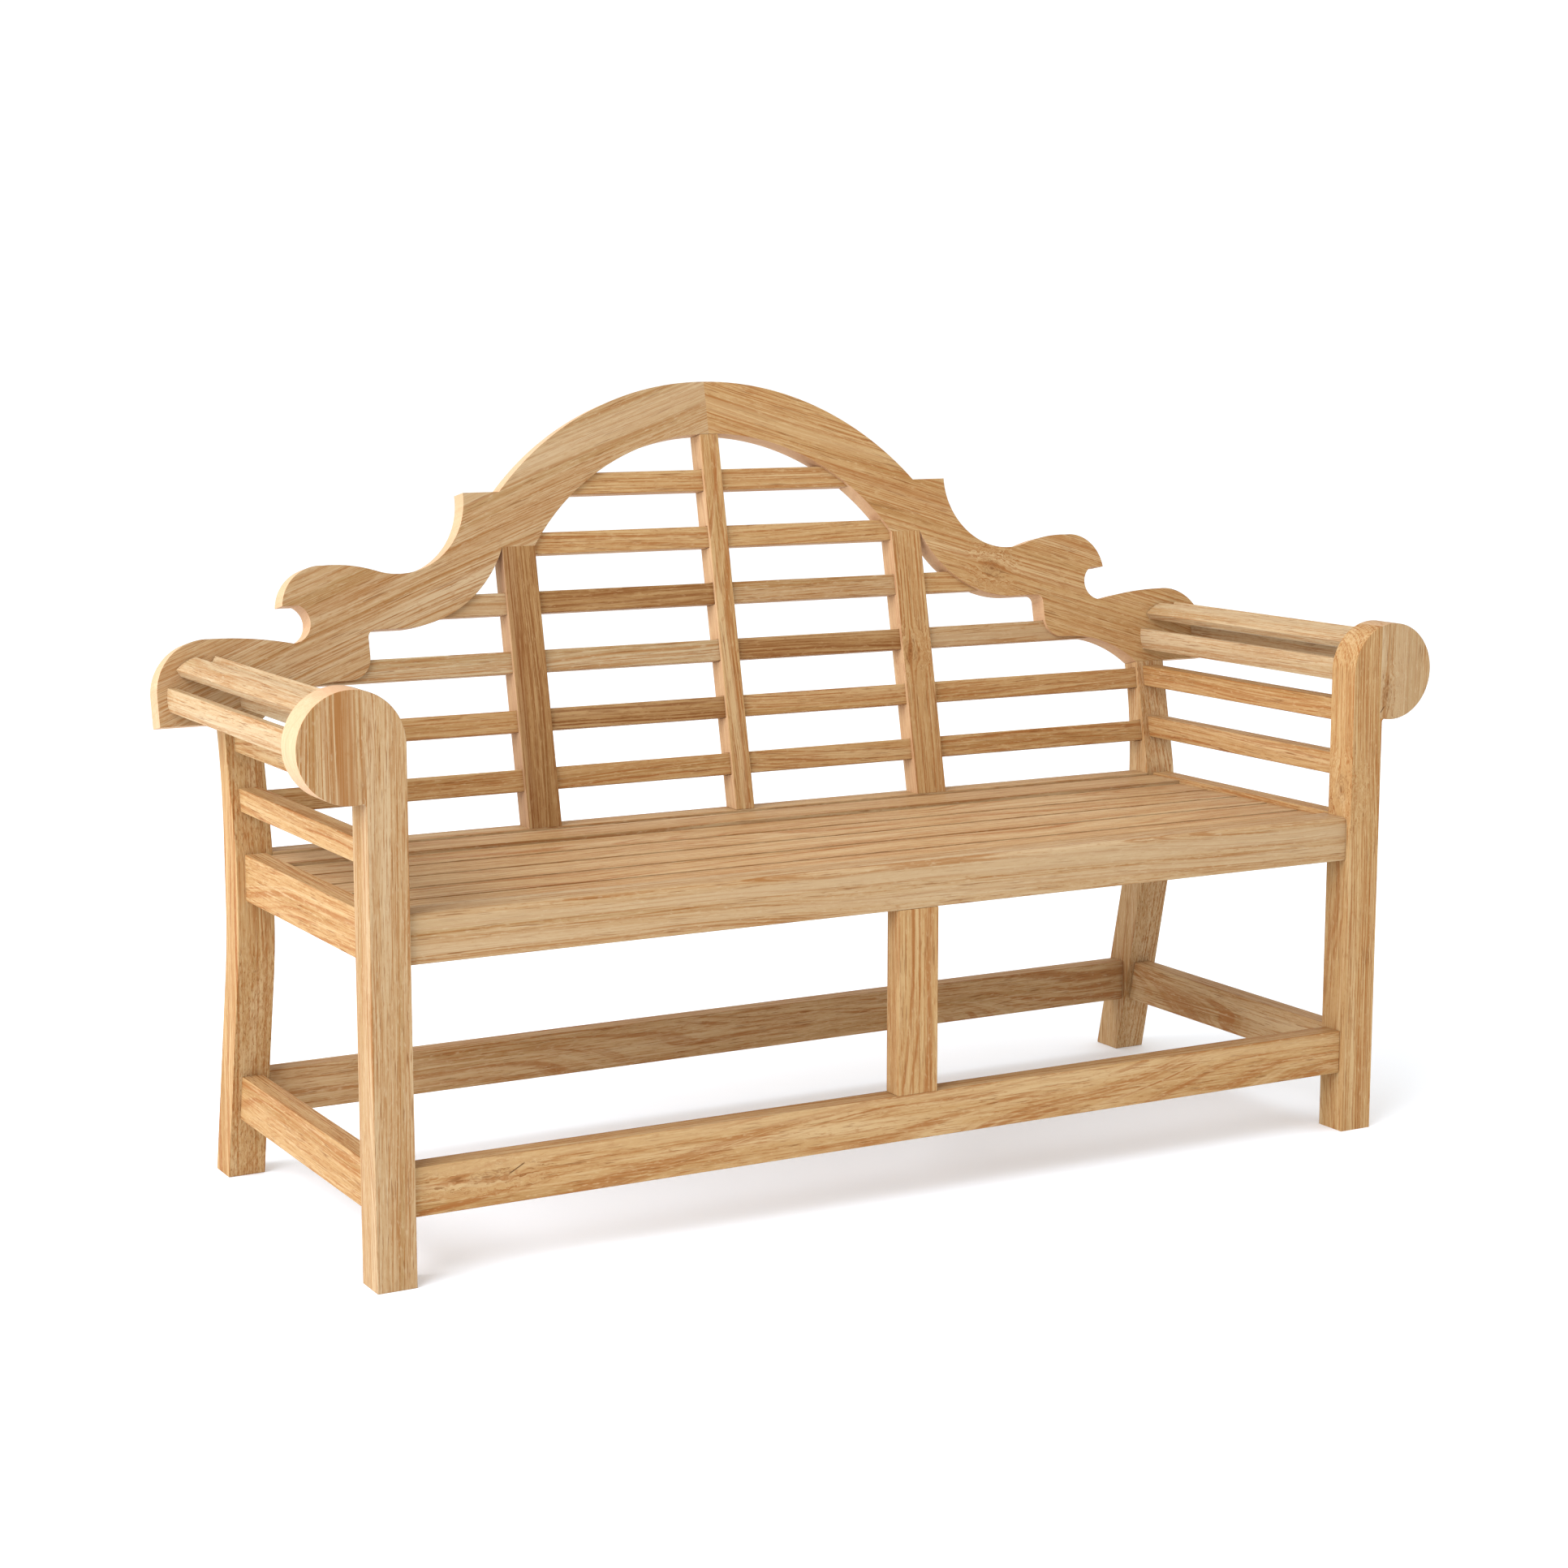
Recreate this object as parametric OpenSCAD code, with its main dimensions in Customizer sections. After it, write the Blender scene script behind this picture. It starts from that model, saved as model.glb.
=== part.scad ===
// Garden bench in teak with a scrolled, arched back and rolled arms.
// X runs along the seat, Y from front to back and Z up. The origin is on the ground, at the middle
// of the bench's outline. Every rail, slat and post has a tenon or a housed end in its neighbour.
// Pieces are laid out with the front legs' front faces at Y = 0, and place() centres the whole.
// Pieces of the leaning back are laid out in its own frame: X along the seat, Y backwards from the
// front of the back, Z up the slope from the top of the rear seat rail.

/* [Overall] */
// Length over the arm scrolls
bench_w = 1650; // [1400:10:2000]
// Height of the top of the seat rails
seat_h = 445; // [380:5:540]
// Depth from the front legs to the back posts, at the seat
seat_d = 472; // [420:2:570]
// Lean of the back from upright, in degrees
lean = 11.7; // [8:0.1:15]

/* [Legs] */
// Leg size along the bench
leg_w = 50; // [42:1:60]
// Leg size from front to back
leg_d = 48; // [44:1:58]
// Distance that a back foot stands behind its knee
foot_splay = 69; // [40:1:90]
// Distance that the knee in a back leg lies below the seat rails
knee_drop = 65; // [50:5:90]

/* [Seat] */
// Height of the seat rails
rail_h = 60; // [54:1:72]
// Thickness of the side rails
rail_t = 28; // [24:1:34]
// Distance that side rails stand in from the legs' outer faces
rail_set = 12; // [8:1:14]
// Thickness of the front rail
apron_t = 48; // [40:1:58]
// Distance that the front rails stand back from the front legs
apron_set = 8.5; // [4:0.5:12]
// Radius of the front rail's top edge
apron_r = 8; // [4:1:14]
// Thickness of the rear rail
rear_t = 36; // [34:1:44]
// Thickness of the seat slats
slat_t = 18; // [15:1:21]
// Gap between seat slats
slat_gap = 7; // [4:0.5:12]
// Distance that seat slats lie below the top of the rails
slat_drop = 7; // [5:0.5:9]
// Height that the rear slat stands above the others
slat_lift = 4; // [2:0.5:4.5]
// Width of the bearers and ledgers under the slats
bearer_w = 26; // [22:1:32]

/* [Lower rails] */
// Height of the lower rails above the ground
low_z = 83; // [60:1:110]
// Height of the lower rails
low_h = 60; // [54:1:72]
// Thickness of the lower front rail
low_front_t = 32; // [28:1:38]
// Width of the centre strut below the front rail
strut_w = 60; // [48:1:72]

/* [Back] */
// Thickness of the crest and the posts
back_t = 31; // [28:1:36]
// Height of the crest from the top of a back leg to the top of the arch
crest_rise = 435; // [400:5:520]
// Distance of a wide post's middle from the bench's middle
post_x = 307; // [260:1:370]
// Width of the wide posts
post_w = 48; // [40:1:56]
// Width of the middle post
mid_w = 28.5; // [26:0.5:36]
// Height of the back slats
row_h = 30; // [26:1:38]
// Thickness of the back slats
row_t = 22; // [14:1:22]
// Distance that the back slats stand behind the posts' front faces
row_set = 6; // [4:0.5:8]
// Height of the lowest back slat's middle above the seat rails, up the slope
row_first = 66; // [45:1:85]
// Distance from the highest back slat's middle up to the arch
row_last = 64.5; // [45:0.5:85]
// Depth that a back slat's end is housed in a post, leg or crest
row_house = 8; // [6:0.5:10]

/* [Arms] */
// Diameter of the arm scrolls
scroll_d = 133; // [120:1:160]
// Height of the scrolls' centre above the seat rails
arm_rise = 200; // [180:5:240]
// Radius over the four rounded slats of an arm
roll_r = 54; // [46:1:56]
// Width of the rounded arm slats
roll_w = 30; // [24:1:34]
// Thickness of the rounded arm slats
roll_t = 12; // [11:0.5:14]
// Height of the two flat rails below each arm
arm_h = 30; // [24:1:36]
// Gap between the two flat rails of an arm
arm_gap = 46; // [36:1:56]
// Gap between the upper flat rail and the rounded slat above it
arm_top_gap = 25; // [18:1:34]

/* [Joints] */
// Radius of the fillet between an arm scroll and its leg
scroll_fillet = 4; // [2:0.5:8]
// Thickness of the tenons
tenon_t = 10; // [8:0.5:12]
// Length of the tenons
tenon_l = 22; // [16:1:24]
// Shoulder above and below a tenon
shoulder = 7; // [5:0.5:9]
// Clearance all round a tenon, dowel or housed end
fit = 0.2; // [0.1:0.05:0.4]
// Diameter of the dowels and the arm slats' round tenons
dowel_d = 8; // [6:0.5:9]
// Diameter of the seat screws
screw_d = 4; // [3.5:0.5:5]

/* [Hidden] */
half = bench_w / 2;
leg_in = half - scroll_d;
leg_out = leg_in + leg_w;
leg_x = (leg_in + leg_out) / 2;
scroll_x = half - scroll_d / 2;
scroll_z = seat_h + arm_rise;
rail_out = leg_out - rail_set;
rail_in = rail_out - rail_t;
rail_x = (rail_in + rail_out) / 2;
rail_z = seat_h - rail_h;
post_in = post_x - post_w / 2;
post_out = post_x + post_w / 2;

// Depths of the rails that run along the bench
apron_y = [apron_set, apron_set + apron_t];
rear_y = [seat_d, seat_d + rear_t];
low_front_y = [apron_set, apron_set + low_front_t];
knee_h = rail_z - knee_drop;
foot_mid_y = seat_d + foot_splay * (1 - (low_z + low_h / 2) / knee_h) + leg_d / 2;
low_back_y = [foot_mid_y - rail_t / 2, foot_mid_y + rail_t / 2];
low_top = low_z + low_h;

// Tenons are rooted this far inside their own piece, so that the two join
root = 2;
// Rails along the bench have their tenons in the upper half, side rails in the lower half
function upper(z, h) = [z + h / 2 + 1, z + h - shoulder];
function lower(z, h) = [z + shoulder, z + h / 2 - 1];
function around(c, w) = [c - w / 2, c + w / 2];
side_tenon_x = around(rail_x, tenon_t);

// Bottoms of the two flat rails of an arm, set down from the scroll
upper_arm_z = scroll_z - roll_w / 2 - arm_top_gap - arm_h;
function arm_rail_z(i) = upper_arm_z - (1 - i) * (arm_h + arm_gap);

// Seat slats fill the space between the front rail and the rear rail
slats = 6;
front_joint = 1;
rear_joint = 4;
slat_y0 = max(apron_y[1], leg_d) + front_joint;
slat_pitch = (rear_y[0] - rear_joint - slat_y0 + slat_gap) / slats;
slat_w = slat_pitch - slat_gap;
slat_end = 0.5;
function slat_y(i) = slat_y0 + (i - 1) * slat_pitch;
function slat_top(i) = seat_h - slat_drop + (i == slats ? slat_lift : 0);
slat_bottom = seat_h - slat_drop - slat_t;

// Bearers run from the front rail to the rear rail, ledgers along the side rails
bearer_x = [-leg_in / 2, 0, leg_in / 2];
bearer_tenon_h = 20;
bearer_tenon_l = 10;
ledger_x = rail_in - bearer_w / 2;
ledger_gap = 4;
supports = concat([-ledger_x], bearer_x, [ledger_x]);
screw_head_d = 2 * screw_d;
screw_head_h = 2.5;
screw_bite = 11;
screw_fit = 0.05;
ledger_screws = 3;
ledger_screw_l = bearer_w + 12;

// The back leg's knee: straight foot, upright at the seat, then leaning with the back
foot_angle = atan(foot_splay / knee_h);
knee_run = 40;
heel_run = 50;
foot_d = leg_d / cos(foot_angle) + 1;

// The crest, in the frame of the back
crest_drop = 33.5;
crest_z = (arm_rise - crest_drop) / cos(lean);
run = leg_in - post_out;
run_drawn = 361;
// The curves beside a wide post are drawn for one length, and spread to the length there is
function out(x) = post_out + x * run / run_drawn;
arch_top = crest_z + crest_rise;
arch_t = 74;
step_rise = 288;
post_rise = 213;
belly_rise = 110;
post_top = crest_z + post_rise;
mid_top = arch_top - arch_t;
lobe_rise = 45;
arch_bow = -0.1176;
belly_bow = 0.145;
leg_curve_bow = -0.0928;
belly_start = [out(147), crest_z + belly_rise];
lobe_start = [out(244), crest_z + lobe_rise];

// Round stretches of an outline: a bow is an arc's rise as a share of its chord, out of the piece
// when positive and into it when negative, on an outline that runs clockwise
smooth = 0.05;
function arc_r(a, b, bow) = norm(b - a) * (0.25 + bow * bow) / (2 * abs(bow));
function arc_c(a, b, bow) =
    (a + b) / 2 + [a[1] - b[1], b[0] - a[0]] * (bow - sign(bow) * arc_r(a, b, bow) / norm(b - a));
function arc(a, b, bow) =
    let (
        r = arc_r(a, b, bow),
        c = arc_c(a, b, bow),
        turn = 2 * asin(norm(b - a) / 2 / r),
        n = ceil(turn * PI / 180 * r / sqrt(8 * r * smooth)),
        start = atan2(a[1] - c[1], a[0] - c[0])
    )
    [
        for (i = [0:n - 1])
            let (a = start - sign(bow) * turn * i / n)
            c + r * [cos(a), sin(a)]
    ];
// The points of an outline given as [x, y, bow of the edge that starts there]
function outline(p) = [
    for (i = [0:len(p) - 1])
        let (a = [p[i][0], p[i][1]], q = p[(i + 1) % len(p)], b = [q[0], q[1]])
        each (p[i][2] == 0 ? [a] : arc(a, b, p[i][2]))
];

// The right half of the crest, clockwise from the top of the arch
crest_points = [
    [0, arch_top, 0.1076],
    [post_out - 3, crest_z + step_rise, 0],
    [post_out + 50.2, crest_z + step_rise, -0.268],
    [out(186), crest_z + 189, 0.045],
    [out(257), crest_z + 198, 0.205],
    [out(317.5), crest_z + 147, 0],
    [out(295), crest_z + 147, -0.39],
    [out(307), crest_z + 98, 0.029],
    [half - 75, crest_z + 109.5, 0.218],
    [half, crest_z + 39, 0],
    [half, crest_z, 0],
    [leg_in, crest_z, leg_curve_bow],
    [lobe_start[0], lobe_start[1], 0],
    [out(233), crest_z + lobe_rise, 0.2071],
    [out(203), crest_z + 75, 0],
    [out(203), crest_z + belly_rise - 10, -0.2071],
    [out(193), crest_z + belly_rise, 0],
    [belly_start[0], belly_start[1], belly_bow],
    [post_out, post_top, 0],
    [post_in, post_top, arch_bow],
    [mid_w / 2, mid_top, 0],
    [0, mid_top, 0]
];

// Where the crest's lower edges stand at a height of the back: inside the arch, on the belly beside
// a wide post, and on the curve that runs down to a back leg
arch_c = arc_c([post_in, post_top], [mid_w / 2, mid_top], arch_bow);
arch_r = arc_r([post_in, post_top], [mid_w / 2, mid_top], arch_bow);
belly_c = arc_c(belly_start, [post_out, post_top], belly_bow);
belly_r = arc_r(belly_start, [post_out, post_top], belly_bow);
function arch_x(z) = arch_c[0] + sqrt(arch_r * arch_r - (z - arch_c[1]) * (z - arch_c[1]));
function belly_x(z) = belly_c[0] - sqrt(belly_r * belly_r - pow(min(z, post_top) - belly_c[1], 2));
leg_curve_c = arc_c([leg_in, crest_z], lobe_start, leg_curve_bow);
leg_curve_r = arc_r([leg_in, crest_z], lobe_start, leg_curve_bow);
function leg_curve_x(z) = z <= crest_z ? leg_in
    : leg_curve_c[0] + sqrt(leg_curve_r * leg_curve_r - (z - leg_curve_c[1]) * (z - leg_curve_c[1]));

// Rows of back slats, counted from the seat and spread evenly up to the arch
rows = 6;
outer_rows = 4;
row_pitch = (mid_top - row_last - row_first) / (rows - 1);
function row_z(k) = around(row_first + (k - 1) * row_pitch, row_h);
row_y = [row_set, row_set + row_t];
slant_house = row_house + 2;
deep_house = 20;
// Ends of a row's outer slat, beyond the wide post, at its bottom and top edge: in the leg or the
// curve above it, in the lobe of the crest, or in the belly
function row_end(k) =
    let (z = row_z(k))
    z[0] < crest_z + lobe_rise ? [leg_curve_x(z[0]) + row_house, leg_curve_x(z[0]) + row_house]
    : z[0] < crest_z + belly_rise ? [out(203) + deep_house, out(203) + deep_house]
    : [belly_x(z[0]) + slant_house, belly_x(z[1]) + slant_house];
// Ends of a row's inner slat, between the middle post and the wide post or the arch
function row_reach(k) =
    let (z = row_z(k))
    z[0] < post_top ? [post_in + row_house, post_in + row_house]
    : [arch_x(z[0]) + slant_house, arch_x(z[1]) + slant_house];

// Tenons at the ends of the posts and at the top of the back legs
post_tenon_l = 24;
back_tenon_y = around(back_t / 2, tenon_t);
post_shoulder = 8;

// Rounded arm slats, by the angle of each around the scroll, from the outer side
roll_angles = [0, 60, 120, 180];
roll_tenon_l = 10;
cheek_dowel_z = [-26, 26];
cheek_dowel_l = 36;
crest_dowel_z = [arch_top - arch_t / 2 - 3, arch_top - 15];
crest_dowel_l = 60;

overall_d = max(
    seat_d + arch_top * sin(lean) + back_t * cos(lean),
    seat_d + foot_splay + foot_d
);

teak = "#C79A64";
teak_pale = "#D8B183";
teak_deep = "#B98A55";
steel = "#B8BABC";
beech = "#E2C79B";

// ---- shapes that repeat ----

module place() translate([0, -overall_d / 2, 0]) children();
module right_or_left(side) mirror([side < 0 ? 1 : 0, 0, 0]) children();
module both_sides() for (side = [-1, 1]) right_or_left(side) children();
module on_back() translate([0, seat_d, seat_h]) rotate([-lean, 0, 0]) children();

// A block between two limits on each axis, and the same grown by a clearance
module block(x, y, z, grow = 0)
    translate([x[0] - grow, y[0] - grow, z[0] - grow])
        cube([x[1] - x[0] + 2 * grow, y[1] - y[0] + 2 * grow, z[1] - z[0] + 2 * grow]);

// A bar along X, Y or Z, given its start, length and diameter
module bar_x(at, l, d) translate(at) rotate([0, 90, 0]) cylinder(l, d = d, $fn = 32);
module bar_y(at, l, d) translate(at) rotate([-90, 0, 0]) cylinder(l, d = d, $fn = 32);
module bar_z(at, l, d) translate(at) cylinder(l, d = d, $fn = 32);

// A board in the frame of the back, from an outline in X and Z and its limits in Y
module board(points, y)
    translate([0, y[1], 0]) rotate([90, 0, 0]) linear_extrude(y[1] - y[0]) polygon(points);

// A profile in Y and Z, extruded along X
module along_x(points, x)
    translate([x[0], 0, 0]) rotate([90, 0, 90]) linear_extrude(x[1] - x[0]) polygon(points);

// Tenon of a rail along the bench, in a right leg
module end_tenon(y, z, grow = 0)
    block([leg_in - root, leg_in + tenon_l], around((y[0] + y[1]) / 2, tenon_t), z, grow);

// Tenon of a side rail in the right front leg, and in the right back leg
module front_tenon(z, grow = 0) block(side_tenon_x, [leg_d - tenon_l, leg_d + root], z, grow);
module back_tenon(z, grow = 0)
    block(side_tenon_x, [min(leg_front(z[0]), leg_front(z[1])) - root, leg_front(z[0]) + tenon_l], z, grow);

// Front face of a back leg at a height
function leg_front(z) =
    z < knee_h ? seat_d + foot_splay * (1 - z / knee_h)
    : z < seat_h ? seat_d
    : seat_d + (z - seat_h) * tan(lean);

// ---- legs ----

apron_tenon_z = upper(rail_z, rail_h);
side_tenon_z = lower(rail_z, rail_h);
low_tenon_z = upper(low_z, low_h);
low_side_tenon_z = lower(low_z, low_h);
function arm_tenon_z(i) = [arm_rail_z(i) + 5, arm_rail_z(i) + arm_h - 5];

module scroll_disc()
    translate([scroll_x, 0, scroll_z]) rotate([-90, 0, 0]) cylinder(leg_d, d = scroll_d, $fn = 180);

module cheek_dowel_bars(grow = 0)
    for (z = cheek_dowel_z)
        bar_x([leg_out - cheek_dowel_l / 2 - grow, leg_d / 2, scroll_z + z],
            cheek_dowel_l + 2 * grow, dowel_d + 2 * grow);

// Where the fillet under a scroll ends, and where the glue line between a leg and its cheek stands,
// beyond the leg's outer face
fillet_end = 0.75 * scroll_fillet;
function glue(side) = side < 0 ? fillet_end : -4;
glue_film = 0.05;
module beyond_glue(side)
    block([leg_out + glue(side), half + 1], [-1, leg_d + 1], [scroll_z - scroll_d, scroll_z + scroll_d]);

// Half the height of a scroll at a distance along the bench
function scroll_half(x) = sqrt(pow(scroll_d / 2, 2) - pow(x - scroll_x, 2));
// Bow of a round edge between two points, from its radius
function bow_of(a, b, r) = (r - sqrt(r * r - pow(norm(b - a) / 2, 2))) / norm(b - a);

// The fillet in the corner between a leg's outer face and the underside of its scroll
fillet_x = leg_out + scroll_fillet;
fillet_z = scroll_z - sqrt(pow(scroll_d / 2 + scroll_fillet, 2) - pow(fillet_x - scroll_x, 2));
fillet_a = [
    leg_out + fillet_end,
    fillet_z + sqrt(pow(scroll_fillet, 2) - pow(scroll_fillet - fillet_end, 2))
];
fillet_b = [leg_out, fillet_z];

// Outline of the right front leg in X and Z, clockwise from the inner corner of its foot
function front_leg_points(side) =
    let (
        x = leg_out + glue(side),
        crown = [x, scroll_z + scroll_half(x)],
        seam = [x, scroll_z - scroll_half(x) - glue_film],
        toe = [fillet_a[0], scroll_z - scroll_half(fillet_a[0]) - glue_film]
    ) concat(
        [
            [leg_in, 0, 0],
            [leg_in, scroll_z, bow_of([leg_in, scroll_z], crown, scroll_d / 2)],
            [crown[0], crown[1], 0]
        ],
        side < 0 ? [] : [
            [seam[0], seam[1], -bow_of(seam, toe, scroll_d / 2)],
            [toe[0], toe[1], 0]
        ],
        [
            [fillet_a[0], fillet_a[1], -bow_of(fillet_a, fillet_b, scroll_fillet)],
            [fillet_b[0], fillet_b[1], 0],
            [leg_out, 0, 0]
        ]
    );

module front_leg(side) color(teak) right_or_left(side) difference() {
    board(outline(front_leg_points(side)), [0, leg_d]);
    end_tenon(apron_y - [0, apron_t - low_front_t], apron_tenon_z, fit);
    end_tenon(low_front_y, low_tenon_z, fit);
    front_tenon(side_tenon_z, fit);
    front_tenon(low_side_tenon_z, fit);
    for (i = [0, 1]) front_tenon(arm_tenon_z(i), fit);
    roll_tenons(fit);
    cheek_dowel_bars(fit);
}

module arm_cheek(side) color(teak_pale) right_or_left(side) difference() {
    intersection() {
        scroll_disc();
        beyond_glue(side);
    }
    roll_tenons(fit);
    cheek_dowel_bars(fit);
}

// Outline of a back leg in Y and Z, clockwise from the front of the foot
knee_dir = [-foot_splay, knee_h] / norm([foot_splay, knee_h]);
knee = [seat_d, knee_h];
heel = [seat_d + leg_d, knee_h + 5];
lean_dir = [sin(lean), cos(lean)];
leg_top_front = [seat_d, seat_h] + lean_dir * crest_z;
leg_top_back = leg_top_front + [cos(lean), -sin(lean)] * back_t;
leg_points = [
    [seat_d + foot_splay, 0, 0],
    [knee[0] - knee_dir[0] * knee_run, knee[1] - knee_dir[1] * knee_run, 0.0265],
    [seat_d, knee_h + knee_run, 0],
    [seat_d, seat_h - 24, 0.0255],
    [seat_d + 24 * sin(lean), seat_h + 24 * cos(lean), 0],
    [leg_top_front[0], leg_top_front[1], 0],
    [leg_top_back[0], leg_top_back[1], -0.028],
    [seat_d + leg_d, seat_h + 25, 0],
    [heel[0], heel[1] + heel_run, -0.0265],
    [heel[0] - knee_dir[0] * heel_run, heel[1] - knee_dir[1] * heel_run, 0],
    [seat_d + foot_splay + foot_d, 0, 0]
];

module leg_top_tenon(grow = 0) on_back()
    block(around(leg_x, leg_w - 2 * post_shoulder), back_tenon_y,
        [crest_z - root, crest_z + post_tenon_l], grow);

module back_leg(side) color(teak) right_or_left(side) difference() {
    union() {
        along_x(outline(leg_points), [leg_in, leg_out]);
        leg_top_tenon();
    }
    end_tenon(rear_y, apron_tenon_z, fit);
    end_tenon(low_back_y, low_tenon_z, fit);
    back_tenon(side_tenon_z, fit);
    back_tenon(low_side_tenon_z, fit);
    for (i = [0, 1]) back_tenon(arm_tenon_z(i), fit);
    on_back() for (k = [1:outer_rows]) row_outer(k, fit);
}

// ---- back ----

// A slat of the back, given its start and the ends of its bottom and top edge
module row_piece(k, start, ends, grow) {
    beyond = grow * (1 + abs(ends[1] - ends[0]) / row_h);
    board([
        [start - grow, row_z(k)[0] - grow],
        [start - grow, row_z(k)[1] + grow],
        [ends[1] + beyond, row_z(k)[1] + grow],
        [ends[0] + beyond, row_z(k)[0] - grow]
    ], [row_y[0] - grow, row_y[1] + grow]);
}
module row_outer(k, grow = 0) row_piece(k, post_out - row_house, row_end(k), grow);
module row_inner(k, grow = 0) row_piece(k, mid_w / 2 - row_house, row_reach(k), grow);

module post_tenons(x, w, top, grow = 0)
    block(around(x, w - 2 * post_shoulder), back_tenon_y, [top - root, top + post_tenon_l], grow);
module post_foot_tenon(x, w, grow = 0)
    block(around(x, w - 2 * post_shoulder), back_tenon_y, [-post_tenon_l, 12], grow);

module back_post(x, w, top) {
    difference() {
        on_back() block(around(x, w), [0, back_t], [-20, top]);
        block(around(x, 2 * w), [seat_d - 50, seat_d + 100], [seat_h - 60, seat_h]);
    }
    on_back() post_tenons(x, w, top);
    on_back() post_foot_tenon(x, w);
}

module wide_post(side) color(teak) right_or_left(side) difference() {
    back_post(post_x, post_w, post_top);
    on_back() {
        for (k = [1:rows]) row_inner(k, fit);
        for (k = [1:outer_rows]) row_outer(k, fit);
    }
}

module middle_post() color(teak_pale) difference() {
    back_post(0, mid_w, mid_top);
    on_back() both_sides() for (k = [1:rows]) row_inner(k, fit);
}

module crest_dowel_bars(grow = 0)
    for (z = crest_dowel_z)
        bar_x([-crest_dowel_l / 2 - grow, back_t / 2, z], crest_dowel_l + 2 * grow, dowel_d + 2 * grow);

module crest(side) color(teak_deep) right_or_left(side) difference() {
    on_back() difference() {
        board(outline(crest_points), [0, back_t]);
        post_tenons(post_x, post_w, post_top, fit);
        post_tenons(0, mid_w, mid_top, fit);
        for (k = [1:rows]) row_inner(k, fit);
        for (k = [1:outer_rows]) row_outer(k, fit);
        crest_dowel_bars(fit);
    }
    leg_top_tenon(fit);
    roll_tenons(fit);
}

module back_slat_inner(k, side) color(teak) right_or_left(side) on_back() row_inner(k);
module back_slat_outer(k, side) color(teak) right_or_left(side) on_back() row_outer(k);

// ---- arms ----

// Round tenons at both ends of the four arm slats
module roll_tenons(grow = 0)
    for (a = roll_angles)
        bar_y([
            scroll_x + (roll_r - roll_t / 2) * cos(a),
            leg_d - roll_tenon_l - grow,
            scroll_z + (roll_r - roll_t / 2) * sin(a)
        ], roll_back_y(a) - leg_d + 2 * roll_tenon_l + 2 * grow, dowel_d + 2 * grow);
// Depth of the crest's front face at the middle of an arm slat
function roll_back_y(a) = leg_front(scroll_z + (roll_r - roll_t / 2) * sin(a));

module arm_slat_set(side) color(teak) right_or_left(side) {
    difference() {
        for (a = roll_angles) intersection() {
            translate([scroll_x, leg_d, scroll_z]) rotate([0, -a, 0])
                translate([roll_r - roll_t, 0, -roll_w / 2]) cube([roll_t + 1, seat_d, roll_w]);
            translate([scroll_x, leg_d, scroll_z]) rotate([-90, 0, 0])
                cylinder(seat_d, r = roll_r, $fn = 180);
        }
        on_back() block([0, bench_w], [0, 2 * seat_d], [-seat_d, 2 * seat_d]);
    }
    roll_tenons();
}

module arm_rail(i, side) color(teak) right_or_left(side) {
    z = [arm_rail_z(i), arm_rail_z(i) + arm_h];
    difference() {
        block([rail_in, rail_out], [leg_d, leg_front(z[1]) + 6], z);
        along_x(outline(leg_points), [leg_in - 1, leg_out + 1]);
    }
    front_tenon(arm_tenon_z(i));
    back_tenon(arm_tenon_z(i));
}

// ---- seat ----

// Mortises for the bearers, in the rail that they meet
module bearer_tenons(grow = 0)
    for (x = bearer_x)
        block(around(x, tenon_t), [apron_y[1] - bearer_tenon_l, rear_y[0] + bearer_tenon_l],
            [rail_z + shoulder, rail_z + shoulder + bearer_tenon_h], grow);

module front_rail() color(teak_pale) difference() {
    union() {
        along_x(outline([
            [apron_y[0], rail_z, 0],
            [apron_y[0], seat_h - apron_r, 0.2071],
            [apron_y[0] + apron_r, seat_h, 0],
            [apron_y[1], seat_h, 0],
            [apron_y[1], rail_z, 0]
        ]), [-leg_in, leg_in]);
        both_sides() end_tenon(apron_y - [0, apron_t - low_front_t], apron_tenon_z);
    }
    bearer_tenons(fit);
    strut_tenons(fit);
}

module rear_rail() color(teak) difference() {
    union() {
        block([-leg_in, leg_in], rear_y, [rail_z, seat_h]);
        both_sides() end_tenon(rear_y, apron_tenon_z);
    }
    bearer_tenons(fit);
    on_back() {
        post_foot_tenon(0, mid_w, fit);
        both_sides() post_foot_tenon(post_x, post_w, fit);
    }
}

module side_rail(side) color(teak) right_or_left(side) difference() {
    union() {
        block([rail_in, rail_out], [leg_d, seat_d], [rail_z, seat_h]);
        front_tenon(side_tenon_z);
        back_tenon(side_tenon_z);
    }
    ledger_screw_bars(screw_fit);
}

module seat_slat(i) color(teak_pale) difference() {
    block([-rail_in + slat_end, rail_in - slat_end], [slat_y(i), slat_y(i) + slat_w],
        [slat_top(i) - slat_t, slat_top(i)]);
    screw_bars(screw_fit);
}

// A support under the slats, from Y limits, with a step up under the rear slat
module support(x, y) {
    block(around(x, bearer_w), y, [rail_z, slat_bottom]);
    block(around(x, bearer_w), [slat_y(slats) - slat_gap / 2, y[1]], [rail_z, slat_bottom + slat_lift]);
}

module seat_bearer_set() color(teak) difference() {
    union() {
        for (x = bearer_x) support(x, [apron_y[1], rear_y[0]]);
        bearer_tenons();
    }
    screw_bars(screw_fit);
}

module seat_ledger_set() color(teak) difference() {
    for (side = [-1, 1]) support(side * ledger_x, [apron_y[1] + ledger_gap, rear_y[0] - ledger_gap]);
    screw_bars(screw_fit);
    both_sides() ledger_screw_bars(screw_fit);
}

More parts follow.
